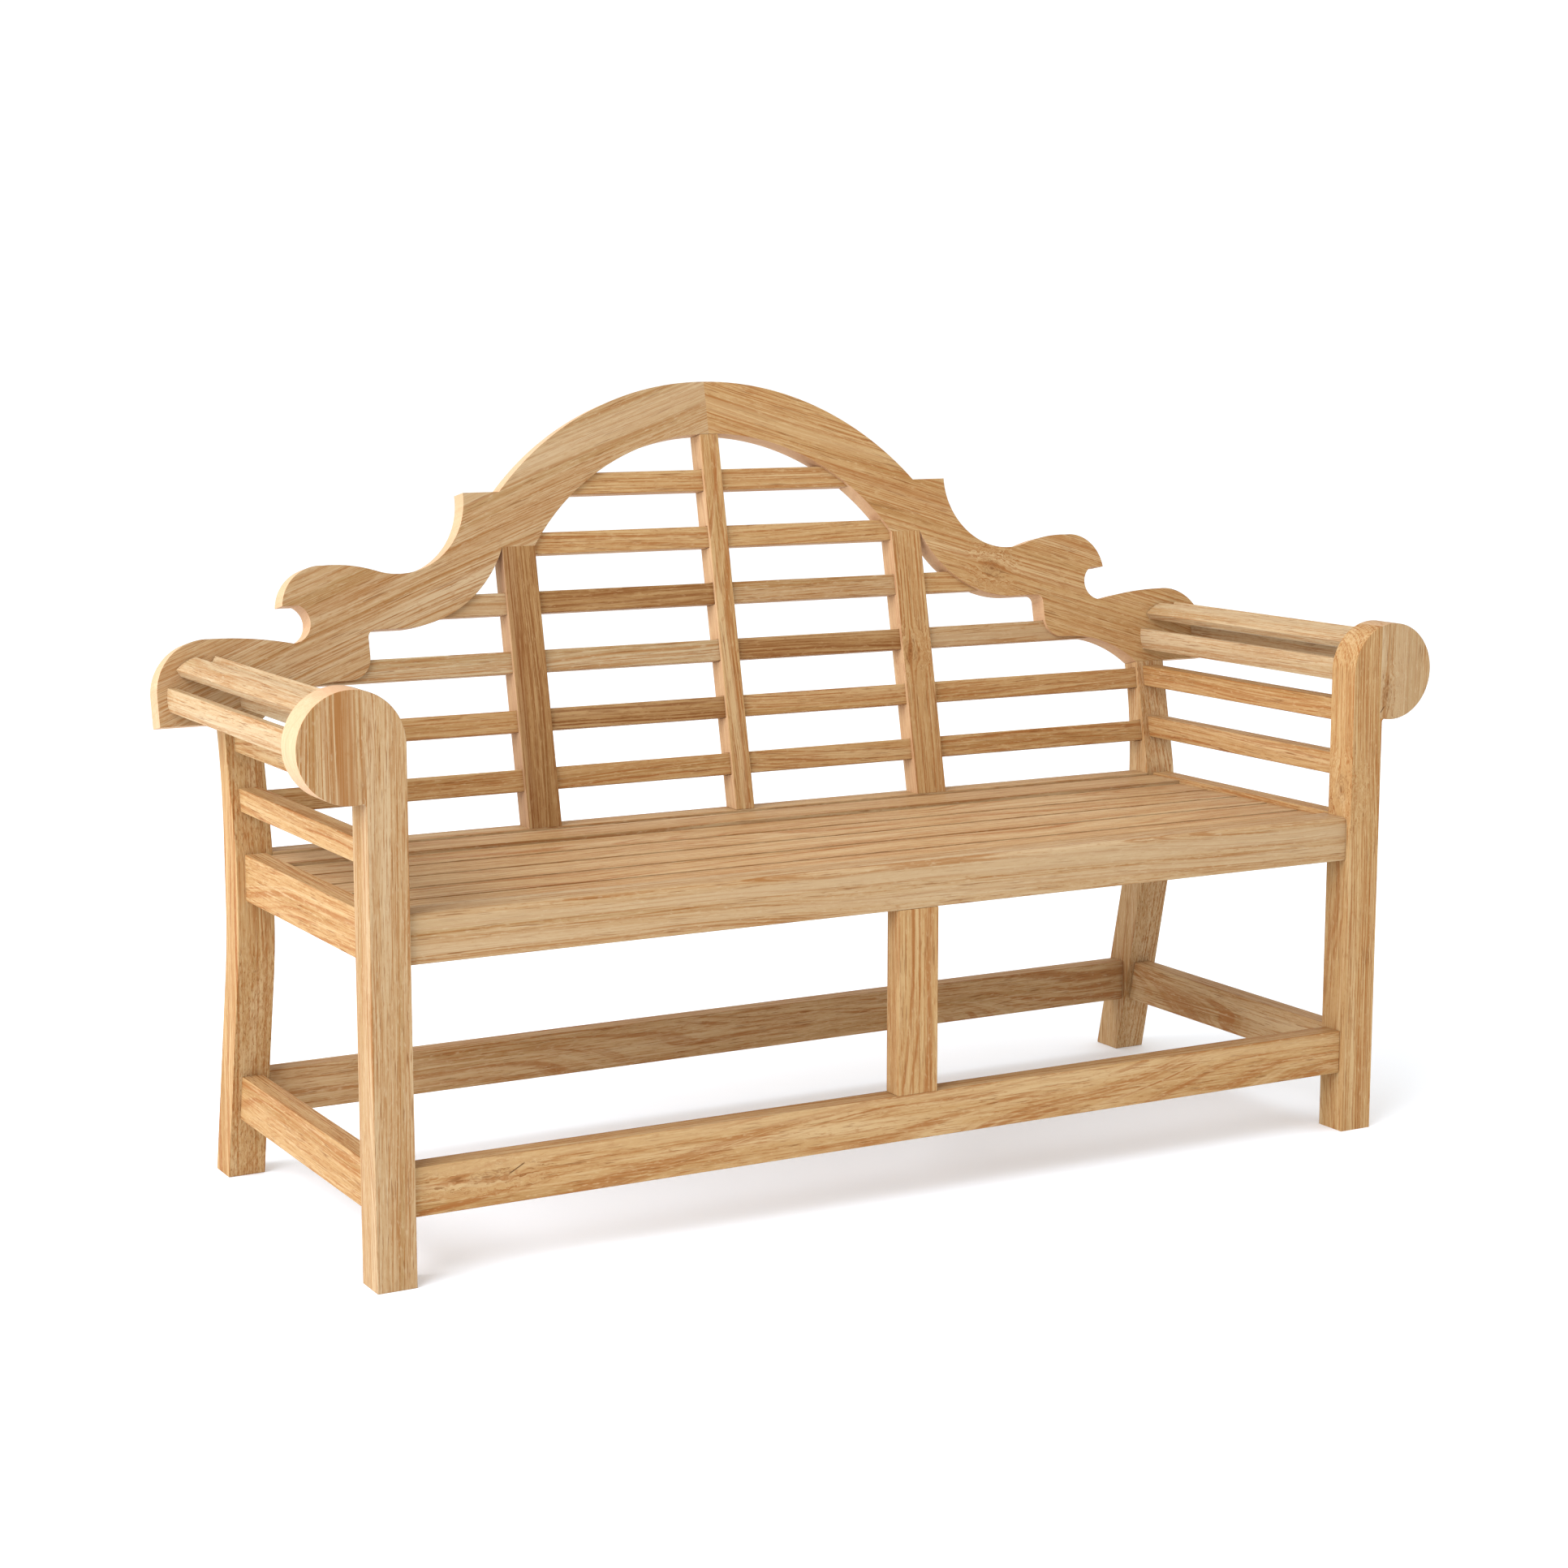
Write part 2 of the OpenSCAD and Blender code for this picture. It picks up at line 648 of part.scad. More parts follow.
// Screws up through the supports into the slats, and sideways through a ledger into its rail
module screw_bars(grow = 0)
    for (x = supports, i = [1:slats]) {
        y = slat_y(i) + slat_w / 2;
        l = slat_top(i) - slat_t + screw_bite - rail_z;
        bar_z([x, y, rail_z], l + grow, screw_d + 2 * grow);
        bar_z([x, y, rail_z], screw_head_h + grow, screw_head_d + 2 * grow);
    }
module ledger_screw_bars(grow = 0)
    for (j = [1:ledger_screws]) {
        at = [ledger_x - bearer_w / 2, slat_y(2 * j) - slat_gap / 2, rail_z + rail_h / 4];
        bar_x(at, ledger_screw_l + grow, screw_d + 2 * grow);
        bar_x(at, screw_head_h + grow, screw_head_d + 2 * grow);
    }

// ---- lower frame ----

module strut_tenons(grow = 0)
    block(around(0, strut_w - 2 * post_shoulder), around(apron_set + rail_t / 2, tenon_t),
        [low_top - tenon_l, rail_z + tenon_l], grow);

module lower_rail(y) {
    block([-leg_in, leg_in], y, [low_z, low_top]);
    both_sides() end_tenon(y, low_tenon_z);
}

module lower_front_rail() color(teak) difference() {
    lower_rail(low_front_y);
    strut_tenons(fit);
}

module lower_back_rail() color(teak_deep) lower_rail(low_back_y);

module lower_side_rail(side) color(teak) right_or_left(side) {
    difference() {
        block([rail_in, rail_out], [leg_d, leg_front(low_z) + 6], [low_z, low_top]);
        along_x(outline(leg_points), [leg_in - 1, leg_out + 1]);
    }
    front_tenon(low_side_tenon_z);
    back_tenon(low_side_tenon_z);
}

module front_strut() color(teak) {
    block(around(0, strut_w), [apron_set, apron_set + rail_t], [low_top, rail_z]);
    strut_tenons();
}

// ---- every piece ----

place() front_leg(-1);  // front_leg_left
place() front_leg(1);  // front_leg_right
place() arm_cheek(-1);  // arm_cheek_left
place() arm_cheek(1);  // arm_cheek_right
place() back_leg(-1);  // back_leg_left
place() back_leg(1);  // back_leg_right
place() crest(-1);  // crest_left
place() crest(1);  // crest_right
place() wide_post(-1);  // back_post_left
place() middle_post();  // back_post_middle
place() wide_post(1);  // back_post_right
for (k = [1:rows]) {
    place() back_slat_inner(k, -1);
    place() back_slat_inner(k, 1);
}
for (k = [1:outer_rows]) {
    place() back_slat_outer(k, -1);
    place() back_slat_outer(k, 1);
}
place() front_rail();
place() rear_rail();
place() side_rail(-1);  // side_rail_left
place() side_rail(1);  // side_rail_right
for (i = [1:slats])
    place() seat_slat(i);
place() seat_bearer_set();  // seat_bearers
place() seat_ledger_set();  // seat_ledgers
place() lower_front_rail();
place() lower_back_rail();
place() lower_side_rail(-1);  // lower_side_rail_left
place() lower_side_rail(1);  // lower_side_rail_right
place() front_strut();
place() arm_rail(0, -1);  // arm_rail_lower_left
place() arm_rail(1, -1);  // arm_rail_upper_left
place() arm_rail(0, 1);  // arm_rail_lower_right
place() arm_rail(1, 1);  // arm_rail_upper_right
place() arm_slat_set(-1);  // arm_slats_left
place() arm_slat_set(1);  // arm_slats_right
place() color(beech) both_sides() cheek_dowel_bars();  // cheek_dowels
place() color(beech) on_back() crest_dowel_bars();  // crest_dowels
place() color(steel) screw_bars();  // seat_screws
place() color(steel) both_sides() ledger_screw_bars();  // ledger_screws
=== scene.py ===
"""Garden bench in planed, unfinished teak, on a pale lit floor in soft studio light."""

import math
import random

import bmesh
import bpy
from mathutils import Euler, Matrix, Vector


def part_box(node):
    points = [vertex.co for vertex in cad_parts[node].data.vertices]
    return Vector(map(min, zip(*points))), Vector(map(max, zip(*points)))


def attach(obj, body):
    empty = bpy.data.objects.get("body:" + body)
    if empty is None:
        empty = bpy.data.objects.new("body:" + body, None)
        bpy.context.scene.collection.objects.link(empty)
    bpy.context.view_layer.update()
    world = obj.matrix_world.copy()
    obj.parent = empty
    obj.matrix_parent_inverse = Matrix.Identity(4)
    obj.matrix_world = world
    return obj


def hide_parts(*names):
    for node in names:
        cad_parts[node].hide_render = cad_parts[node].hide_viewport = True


MM = 0.001

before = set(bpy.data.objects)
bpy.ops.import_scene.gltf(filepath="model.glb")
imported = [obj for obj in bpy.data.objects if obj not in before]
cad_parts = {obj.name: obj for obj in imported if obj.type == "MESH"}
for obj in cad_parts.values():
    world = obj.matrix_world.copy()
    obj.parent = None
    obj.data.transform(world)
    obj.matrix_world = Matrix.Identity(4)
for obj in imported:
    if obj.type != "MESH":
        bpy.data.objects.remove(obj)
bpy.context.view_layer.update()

# Lean of the back from upright in degrees, and fibre directions as the turn that lays them along X
LEAN = 11.7
ALONG_BENCH = (0, 0, 0)
FRONT_TO_BACK = (0, 0, -90)
UPRIGHT = (0, 90, 0)
UP_THE_BACK = (LEAN, 90, 0)
# The crest's two boards slope down from the middle of the arch
CREST_LEFT = (LEAN, 19, 0)
CREST_RIGHT = (LEAN, -17, 0)

# Directions across planed faces
FRONT = (0, 1, 0)
FRONT_OF_BACK = (0, math.cos(math.radians(LEAN)), -math.sin(math.radians(LEAN)))


# ---- nodes and colours ----

def hex_to_linear(code):
    """A colour given as sRGB hex, in the linear values that Blender's shaders take."""
    parts = [int(code[i:i + 2], 16) / 255 for i in (1, 3, 5)]
    linear = [c / 12.92 if c <= 0.04045 else ((c + 0.055) / 1.055) ** 2.4 for c in parts]
    return (*linear, 1.0)


def add(tree, kind, inputs=(), stops=(), gives=None, **settings):
    """Adds a shader node with its settings, and gives its first output or the one named. The inputs
    are in order, or named: values, colours as hex, or outputs to link from. Stops are a ramp's places
    and colours."""
    node = tree.nodes.new("ShaderNode" + kind)
    for name, value in settings.items():
        setattr(node, name, value)
    for index, (place, colour) in enumerate(stops):
        elements = node.color_ramp.elements
        element = elements[index] if index < len(elements) else elements.new(place)
        element.position = place
        element.color = hex_to_linear(colour)
    if isinstance(inputs, dict):
        wanted = [(node.inputs[name], value) for name, value in inputs.items()]
    else:
        wanted = zip([socket for socket in node.inputs if socket.enabled], inputs)
    for socket, value in wanted:
        if isinstance(value, bpy.types.NodeSocket):
            tree.links.new(value, socket)
        else:
            socket.default_value = hex_to_linear(value) if isinstance(value, str) else value
    if gives:
        return node.outputs[gives]
    return next((output for output in node.outputs if output.enabled), None)


# ---- finishes ----

# Teak's own colours, from the dark late wood to the pale sap streaks
LATE, SAP = 0, 3
TEAK = {
    "mid": ("#8F592B", "#9E7849", "#AB8759", "#B99B70"),
    "dark": ("#74451F", "#866036", "#957045", "#A5845A"),
    "pale": ("#96693D", "#A0835B", "#AC926E", "#B6A180"),
    "rosy": ("#946033", "#A48054", "#B19066", "#BCA079"),
    "straw": ("#8D5E31", "#9B7B51", "#A78861", "#B39A77"),
}
PORE = "#70421C"
KNOT_HEART = "#6B3F1D"
CRACK = "#50301A"
# Painted light: a pale cream laid on faces turned from the planed face, for the light that sides and
# rims catch
PAINTED_LIGHT_ON_SIDES = "#D2AD89"
END_GRAIN = "#B4845A"

# Sizes of the marks in mm, along the fibres and both ways across them
FIBRES = (200, 2.3256, 2.3256)
FLECKS = (13.333, 2.7778, 2.7778)
# Broad bands of sap, patches where the fine lines fade, and the slow sway of the rings
BANDS = (1000, 26.316, 26.316)
FADING = (166.67, 22.222, 22.222)
SWAY = (454.55, 111.11, 111.11)
# The ragged edge of a knot, and the wander of a stripe
KNOT_EDGE = (8.3333, 3.3333, 3.3333)
WANDER = (333.33, 16.667, 16.667)
# Pores are drawn about three times their true width, the finest that still shows
PORES = (50, 1.3333, 1.3333)
# Growth rings, the fine lines between them, and how far both sway
RING_SPACING = 5.2632 * MM
LINE_SPACING = 2.3256 * MM
RING_SWAY = 35 * MM
GRAIN_RELIEF = 0.35 * MM
# A crack is dark as far as the first from its middle, and gone at the second
CRACK_HALF_WIDTH = (0.5 * MM, 1.1 * MM)
# Dark and pale half rings in a knot's radius
KNOT_RINGS = 5.0
# How far a stripe wanders either way
STRIPE_WANDER = 4 * MM
# A step between two levels that starts and ends gently
SOFT = {"interpolation_type": "SMOOTHSTEP"}


def streaks(tree, place, size, detail=2.0, roughness=0.5):
    """Soft streaks whose lumps have that size in mm along X, Y and Z. Fibres lie along X."""
    per_metre = [1 / (step * MM) for step in size]
    scaled = add(tree, "Mapping", {"Vector": place, "Scale": per_metre})
    return add(tree, "TexNoise", {
        "Vector": scaled, "Scale": 1.0, "Detail": detail, "Roughness": roughness})


def stained(tree, body, mask, strength, colour):
    """One colour laid thinly over another, where the mask is."""
    amount = add(tree, "Math", (mask, strength), operation="MULTIPLY")
    return add(tree, "Mix", (amount, body, colour), data_type="RGBA")


def part_round_knots(tree, fibre, turning, knots):
    """Parts the fibres around each knot. Gives the fibres, and how dark the knots are."""
    knot_dark = None
    for at, radius, length in knots:
        away = add(tree, "VectorMath", (fibre, turning @ Vector(at)), operation="SUBTRACT")
        oval = add(tree, "VectorMath", (away, (1 / length, 1, 1)), operation="MULTIPLY")
        far = add(tree, "VectorMath", (oval,), operation="LENGTH")
        ragged = streaks(tree, fibre, KNOT_EDGE)
        ragged = add(tree, "MapRange", (ragged, 0.3, 0.7, 0.75, 1.25), **SOFT)
        far = add(tree, "Math", (far, ragged), operation="MULTIPLY")
        pull = add(tree, "MapRange", (far, 0.5 * radius, 3.6 * radius, 0.8, 0.0), **SOFT)
        sideways = add(tree, "VectorMath", (away, (0, 1, 1)), operation="MULTIPLY")
        bend = add(tree, "VectorMath", (sideways, pull), operation="SCALE")
        fibre = add(tree, "VectorMath", (fibre, bend), operation="SUBTRACT")
        turns = add(tree, "Math", (far, KNOT_RINGS * math.pi / radius), operation="MULTIPLY")
        ripple = add(tree, "Math", (turns,), operation="SINE")
        core = add(tree, "MapRange", (far, 0.10 * radius, 0.40 * radius, 0.8, 0.0), **SOFT)
        rim = add(tree, "MapRange", (far, 0.9 * radius, 1.6 * radius, 1.0, 0.0), **SOFT)
        ripple = add(tree, "MapRange", (ripple, -0.4, 1.0, 0.08, 0.5), **SOFT)
        rings = add(tree, "Math", (rim, ripple), operation="MULTIPLY")
        dark = add(tree, "Math", (core, rings), operation="MAXIMUM")
        if knot_dark is not None:
            dark = add(tree, "Math", (knot_dark, dark), operation="MAXIMUM")
        knot_dark = dark
    return fibre, knot_dark


def cut_from_the_log(tree, fibre, chance):
    """The fibres as they lay in the log, whose heart is beside the board and a little askew."""
    heart = chance.uniform(0, 2 * math.pi)
    reach = chance.uniform(0.05, 0.12)
    return add(tree, "Mapping", {
        "Vector": fibre,
        "Location": (chance.uniform(-9, 9), reach * math.cos(heart), reach * math.sin(heart)),
        "Rotation": (0, chance.uniform(-0.03, 0.03), chance.uniform(-0.03, 0.03))})


def growth_rings(tree, log):
    """The rings, and the fine lines between them."""
    across = add(tree, "VectorMath", (log, (0, 1, 1)), operation="MULTIPLY")
    from_heart = add(tree, "VectorMath", (across,), operation="LENGTH")
    sway = streaks(tree, log, SWAY, detail=1.0)
    place = add(tree, "Math", (sway, RING_SWAY, from_heart), operation="MULTIPLY_ADD")
    found = []
    for spacing, detail, roughness in ((RING_SPACING, 4.0, 0.66), (LINE_SPACING, 1.0, 0.5)):
        step = add(tree, "Math", (place, 1 / spacing), operation="MULTIPLY")
        found.append(add(tree, "TexNoise", {
            "W": step, "Scale": 1.0, "Detail": detail, "Roughness": roughness},
            noise_dimensions="1D"))
    return found


def with_stripes(tree, body, stripes, fibre, spot, grain, tone):
    """The dark and pale stripes that mark a single board. They wander a little."""
    drift = streaks(tree, fibre, WANDER)
    drift = add(tree, "MapRange", (drift, 0.3, 0.7, -STRIPE_WANDER, STRIPE_WANDER), **SOFT)
    for direction, offset, half_width, strength, place in stripes:
        level = add(tree, "VectorMath", (spot, direction), operation="DOT_PRODUCT")
        level = add(tree, "Math", (level, drift), operation="ADD")
        off = add(tree, "Math", (level, offset), operation="SUBTRACT")
        off = add(tree, "Math", (off,), operation="ABSOLUTE")
        on = add(tree, "MapRange", (off, 0.4 * half_width, half_width, 1.0, 0.0), **SOFT)
        broken = add(tree, "MapRange", (grain, 0.3, 0.6, 1.0, 0.6), **SOFT)
        mask = add(tree, "Math", (on, broken), operation="MULTIPLY")
        body = stained(tree, body, mask, strength, tone[place])
    return body


def with_cracks(tree, body, cracks, spot):
    """Fine drying cracks, each between two places on the face."""
    for start, finish in cracks:
        start, finish = Vector(start), Vector(finish)
        run = finish - start
        away = add(tree, "VectorMath", (spot, (start + finish) / 2), operation="SUBTRACT")
        aside = add(tree, "VectorMath", (away, run.normalized()), operation="CROSS_PRODUCT")
        apart = add(tree, "VectorMath", (aside,), operation="LENGTH")
        reached = add(tree, "VectorMath", (away,), operation="LENGTH")
        thin = add(tree, "MapRange", (apart, *CRACK_HALF_WIDTH, 1.0, 0.0), **SOFT)
        ends = (0.35 * run.length, 0.55 * run.length)
        inside = add(tree, "MapRange", (reached, *ends, 1.0, 0.0), **SOFT)
        crack = add(tree, "Math", (thin, inside), operation="MULTIPLY")
        body = stained(tree, body, crack, 0.85, CRACK)
    return body


def turned_from(tree, normal, direction):
    """How squarely the surface faces a direction or its opposite, from 0 to 1."""
    facing = add(tree, "VectorMath", (normal, direction), operation="DOT_PRODUCT")
    return add(tree, "Math", (facing,), operation="ABSOLUTE")


def bare_material(name):
    """A new material whose nodes are still to be added, and their tree."""
    material = bpy.data.materials.new(name)
    material.use_nodes = True
    material.node_tree.nodes.clear()
    return material, material.node_tree


def planed_teak(name, turn, seed, tone="mid", figure=1.0, edges=None, knots=(), stripes=(),
                cracks=()):
    """Planed teak, left bare: dull satin, with brown ring streaks, short dark pores along the fibres
    and paler sap bands. turn lays the fibres along X and figure sets how strongly the rings show.
    edges is the direction of the planed face, and how much paler the faces turned from it are
    painted: painted light where sides, rims and undersides catch the lamp.
    A knot is a place, its radius and its length as a multiple of its width. A stripe is a plane, by
    its direction and offset, half its width, its strength and its place in the tone."""
    tone = TEAK[tone]
    late, mid, light, sap = tone
    material, tree = bare_material(name)
    angles = [math.radians(a) for a in turn]
    turning = Euler(angles).to_matrix()
    spot = add(tree, "TexCoord", gives="Object")
    normal = add(tree, "TexCoord", gives="Normal")
    fibre = add(tree, "Mapping", {"Vector": spot, "Rotation": angles})
    fibre, knot_dark = part_round_knots(tree, fibre, turning, knots)

    log = cut_from_the_log(tree, fibre, random.Random(seed))
    ring, line = growth_rings(tree, log)
    band = streaks(tree, log, BANDS)
    fade = add(tree, "MapRange", (streaks(tree, log, FADING), 0.38, 0.62, 0.0, 1.0), **SOFT)
    grain = streaks(tree, log, FIBRES, detail=3.0, roughness=0.62)
    pores = streaks(tree, log, PORES, detail=1.0)
    flecks = streaks(tree, log, FLECKS, roughness=0.7)
    lines = add(tree, "MapRange", (line, 0.45, 0.33, 0.0, 1.0), **SOFT)
    lines = add(tree, "Math", (lines, fade), operation="MULTIPLY")

    body = add(tree, "ValToRGB", (band,), stops=(
        (0.34, mid), (0.45, light), (0.58, light), (0.68, sap)))
    # Each mark is a pattern, the levels between which it comes in, its strength and its colour.
    # The lines come in by themselves.
    marks = (
        (ring, 0.48, 0.36, 0.62 * figure, late),
        (ring, 0.55, 0.68, 0.58 * figure, sap),
        (lines, None, None, 0.80 * figure, late),
        (grain, 0.50, 0.32, 0.70, late),
        (grain, 0.54, 0.68, 0.65, sap),
        (flecks, 0.54, 0.72, 0.55, sap),
        (flecks, 0.44, 0.28, 0.45, late),
        (pores, 0.38, 0.29, 0.60, PORE),
    )
    for pattern, low, high, strength, colour in marks:
        if low is not None:
            pattern = add(tree, "MapRange", (pattern, low, high, 0.0, 1.0), **SOFT)
        body = stained(tree, body, pattern, strength, colour)
    if stripes:
        body = with_stripes(tree, body, stripes, fibre, spot, grain, tone)
    if knot_dark is not None:
        body = stained(tree, body, knot_dark, 0.8, KNOT_HEART)
    body = with_cracks(tree, body, cracks, spot)

    # Painted light: faces turned away from the planed face are painted paler, as if lit by the lamp
    # and the floor's bounce
    if edges:
        face, paler = edges
        aside = turned_from(tree, normal, face)
        aside = add(tree, "MapRange", (aside, 0.75, 0.35, 0.0, 1.0), **SOFT)
        body = stained(tree, body, aside, paler, PAINTED_LIGHT_ON_SIDES)

    # End grain drinks in light and looks a little darker
    along = tuple(turning.transposed() @ Vector((1, 0, 0)))
    end = add(tree, "MapRange", (turned_from(tree, normal, along), 0.80, 0.97, 0.0, 1.0), **SOFT)
    end = add(tree, "Math", (end, 0.12), operation="MULTIPLY")
    body = add(tree, "Mix", (end, body, END_GRAIN), data_type="RGBA", blend_type="MULTIPLY")

    rough = add(tree, "MapRange", (grain, 0.3, 0.7, 0.74, 0.58), **SOFT)
    grain_part = add(tree, "Math", (grain, 0.6), operation="MULTIPLY")
    height = add(tree, "Math", (pores, 0.4, grain_part), operation="MULTIPLY_ADD")
    bump = add(tree, "Bump", {"Height": height, "Strength": 0.35, "Distance": GRAIN_RELIEF})
    shader = add(tree, "BsdfPrincipled", {
        "Base Color": body, "Roughness": rough, "IOR": 1.45, "Specular IOR Level": 0.12,
        "Normal": bump})
    add(tree, "OutputMaterial", {"Surface": shader})
    return material


def turned_beech(name):
    """Beech dowel rod: pale pinkish wood with close, short flecks and a smooth dull skin."""
    material, tree = bare_material(name)
    spot = add(tree, "TexCoord", gives="Object")
    streak = streaks(tree, spot, (50, 1.6667, 1.6667), detail=3.0)
    fleck = streaks(tree, spot, (6.25, 1.1111, 1.1111), detail=1.0)
    body = add(tree, "ValToRGB", (streak,), stops=(
        (0.3, "#CDA377"), (0.5, "#DDB88D"), (0.7, "#E9CBA4")))
    fleck = add(tree, "MapRange", (fleck, 0.42, 0.30, 0.0, 1.0), **SOFT)
    body = stained(tree, body, fleck, 0.5, "#A9784C")
    rough = add(tree, "MapRange", (streak, 0.3, 0.7, 0.55, 0.42), **SOFT)
    bump = add(tree, "Bump", {"Height": streak, "Strength": 0.3, "Distance": 0.2 * MM})
    shader = add(tree, "BsdfPrincipled", {
        "Base Color": body, "Roughness": rough, "IOR": 1.5, "Normal": bump})
    add(tree, "OutputMaterial", {"Surface": shader})
    return material


def screw_steel(name):
    """Stainless steel screws: cool bright metal with fine turning lines and a few dull patches."""
    material, tree = bare_material(name)
    spot = add(tree, "TexCoord", gives="Object")
    patch = streaks(tree, spot, (3.3333, 3.3333, 3.3333), detail=3.0)
    lines = streaks(tree, spot, (8.3333, 8.3333, 0.38462), detail=1.0)
    body = add(tree, "ValToRGB", (patch,), stops=(
        (0.3, "#A9ABAD"), (0.55, "#C3C5C6"), (0.75, "#D2D3D3")))
    rough = add(tree, "MapRange", (patch, 0.3, 0.7, 0.22, 0.42), **SOFT)
    bump = add(tree, "Bump", {"Height": lines, "Strength": 0.3, "Distance": 0.1 * MM})
    shader = add(tree, "BsdfPrincipled", {
        "Base Color": body, "Metallic": 1.0, "Roughness": rough, "Normal": bump})
    add(tree, "OutputMaterial", {"Surface": shader})
    return material


# ---- boards with eased arrises ----

EASING = 1.2 * MM
# Share of the easing that a glued seam's arrises have: the seam is a fine line, not a groove
SEAM_EASING = 0.12
# Corners sharper than this are eased, and flatter ones are the facets of a curve
SHARPEST_FACET = math.radians(28)
FLAT_ENOUGH = math.radians(0.6)
SAME_POINT = 0.005 * MM
ON_THE_SEAM = 0.1 * MM


def eased_copy(node_name, seam_at=None):
    """A copy of a board whose arrises are lightly eased, as a few strokes with a block would. The
    arrises in the upright plane at seam_at along the bench are those of a glued seam."""
    mesh = bpy.data.meshes.new(node_name + "_eased")
    shape = bmesh.new()
    shape.from_mesh(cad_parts[node_name].data)
    bmesh.ops.remove_doubles(shape, verts=shape.verts, dist=SAME_POINT)
    bmesh.ops.dissolve_limit(shape, angle_limit=FLAT_ENOUGH, verts=shape.verts, edges=shape.edges)
    for face in shape.faces:
        face.smooth = True
    weight = shape.edges.layers.float.new("bevel_weight_edge")
    for edge in shape.edges:
        seam = seam_at is not None and all(abs(v.co.x - seam_at) < ON_THE_SEAM for v in edge.verts)
        corner = edge.is_manifold and edge.calc_face_angle() > SHARPEST_FACET
        edge[weight] = (SEAM_EASING if seam else 1.0) if corner else 0.0
    shape.to_mesh(mesh)
    shape.free()
    board = bpy.data.objects.new(node_name + "_eased", mesh)
    bpy.context.scene.collection.objects.link(board)
    ease = board.modifiers.new("eased arrises", "BEVEL")
    ease.width = EASING
    ease.segments = 2
    ease.limit_method = "WEIGHT"
    ease.use_clamp_overlap = True
    ease.loop_slide = True
    board.modifiers.new("flat faces", "WEIGHTED_NORMAL")
    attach(board, "root")
    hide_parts(node_name)
    return board


# ---- how each board was cut and chosen ----

def fibres_of(name):
    """The turn that lays a board's fibres along X."""
    if name.startswith("crest_"):
        return CREST_LEFT if "left" in name else CREST_RIGHT
    if name.startswith("back_post"):
        return UP_THE_BACK
    if "leg" in name or "cheek" in name or name == "front_strut":
        return UPRIGHT
    if "side" in name or name.startswith("arm_") or name in ("seat_bearers", "seat_ledgers"):
        return FRONT_TO_BACK
    return ALONG_BENCH


# Boards of a chosen tone; tone_of gives the others theirs
TONES = {
    "front_leg_left": "straw",
    "arm_cheek_left": "straw",
    "arm_cheek_right": "straw",
    "crest_left": "straw",
    "front_rail": "straw",
    "front_leg_right": "mid",
    "crest_right": "mid",
    "back_post_right": "mid",
    "front_strut": "mid",
    "lower_front_rail": "mid",
    "back_slat_2_outer_left": "mid",
    "back_slat_1_outer_left": "mid",
    "back_slat_2_outer_right": "mid",
    "back_slat_1_outer_right": "mid",
    "back_post_left": "dark",
    "back_slat_2_inner_left": "dark",
    "back_slat_4_inner_left": "dark",
    "seat_bearers": "dark",
    "seat_ledgers": "dark",
    "lower_back_rail": "rosy",
    "lower_side_rail_right": "rosy",
    "back_leg_right": "rosy",
    "rear_rail": "rosy",
    "arm_slats_left": "pale",
    "arm_slats_right": "pale",
    "back_slat_3_inner_left": "pale",
    "back_slat_3_outer_left": "pale",
}


def tone_of(name, seed):
    """A board's tone: seat slats are rosy, most others in the middle, a few paler or darker."""
    if name in TONES:
        return TONES[name]
    if "seat_slat" in name:
        return "rosy"
    if "slat" not in name:
        return "mid"
    return random.Random(seed).choices(("mid", "straw", "dark"), (60, 28, 12))[0]


def figure_of(name):
    """How strongly a board's rings show."""
    if name == "arm_cheek_left":
        return 1.3
    if name == "arm_cheek_right" or name.startswith("arm_slats"):
        return 0.75
    return 0.9 if name.startswith("crest_") else 1.0


def painted_light_on_sides_of(name):
    """The planed face of a board, and how much paler its other faces are painted: painted light on
    its sides, rims and undersides.
    """
    if name.startswith("crest_"):
        return FRONT_OF_BACK, 0.60
    if name.startswith("back_post") or name.startswith("back_slat"):
        return FRONT_OF_BACK, 0.40
    if "cheek" in name:
        return FRONT, 0.65 if "left" in name else 0.25
    return None


# ---- marks on single boards ----

ACROSS, UP = (1, 0, 0), (0, 0, 1)
# Square to the fibres of each crest board
OVER_CREST_LEFT = (-0.3256, 0, 0.9455)
OVER_CREST_RIGHT = (0.2924, 0, 0.9563)

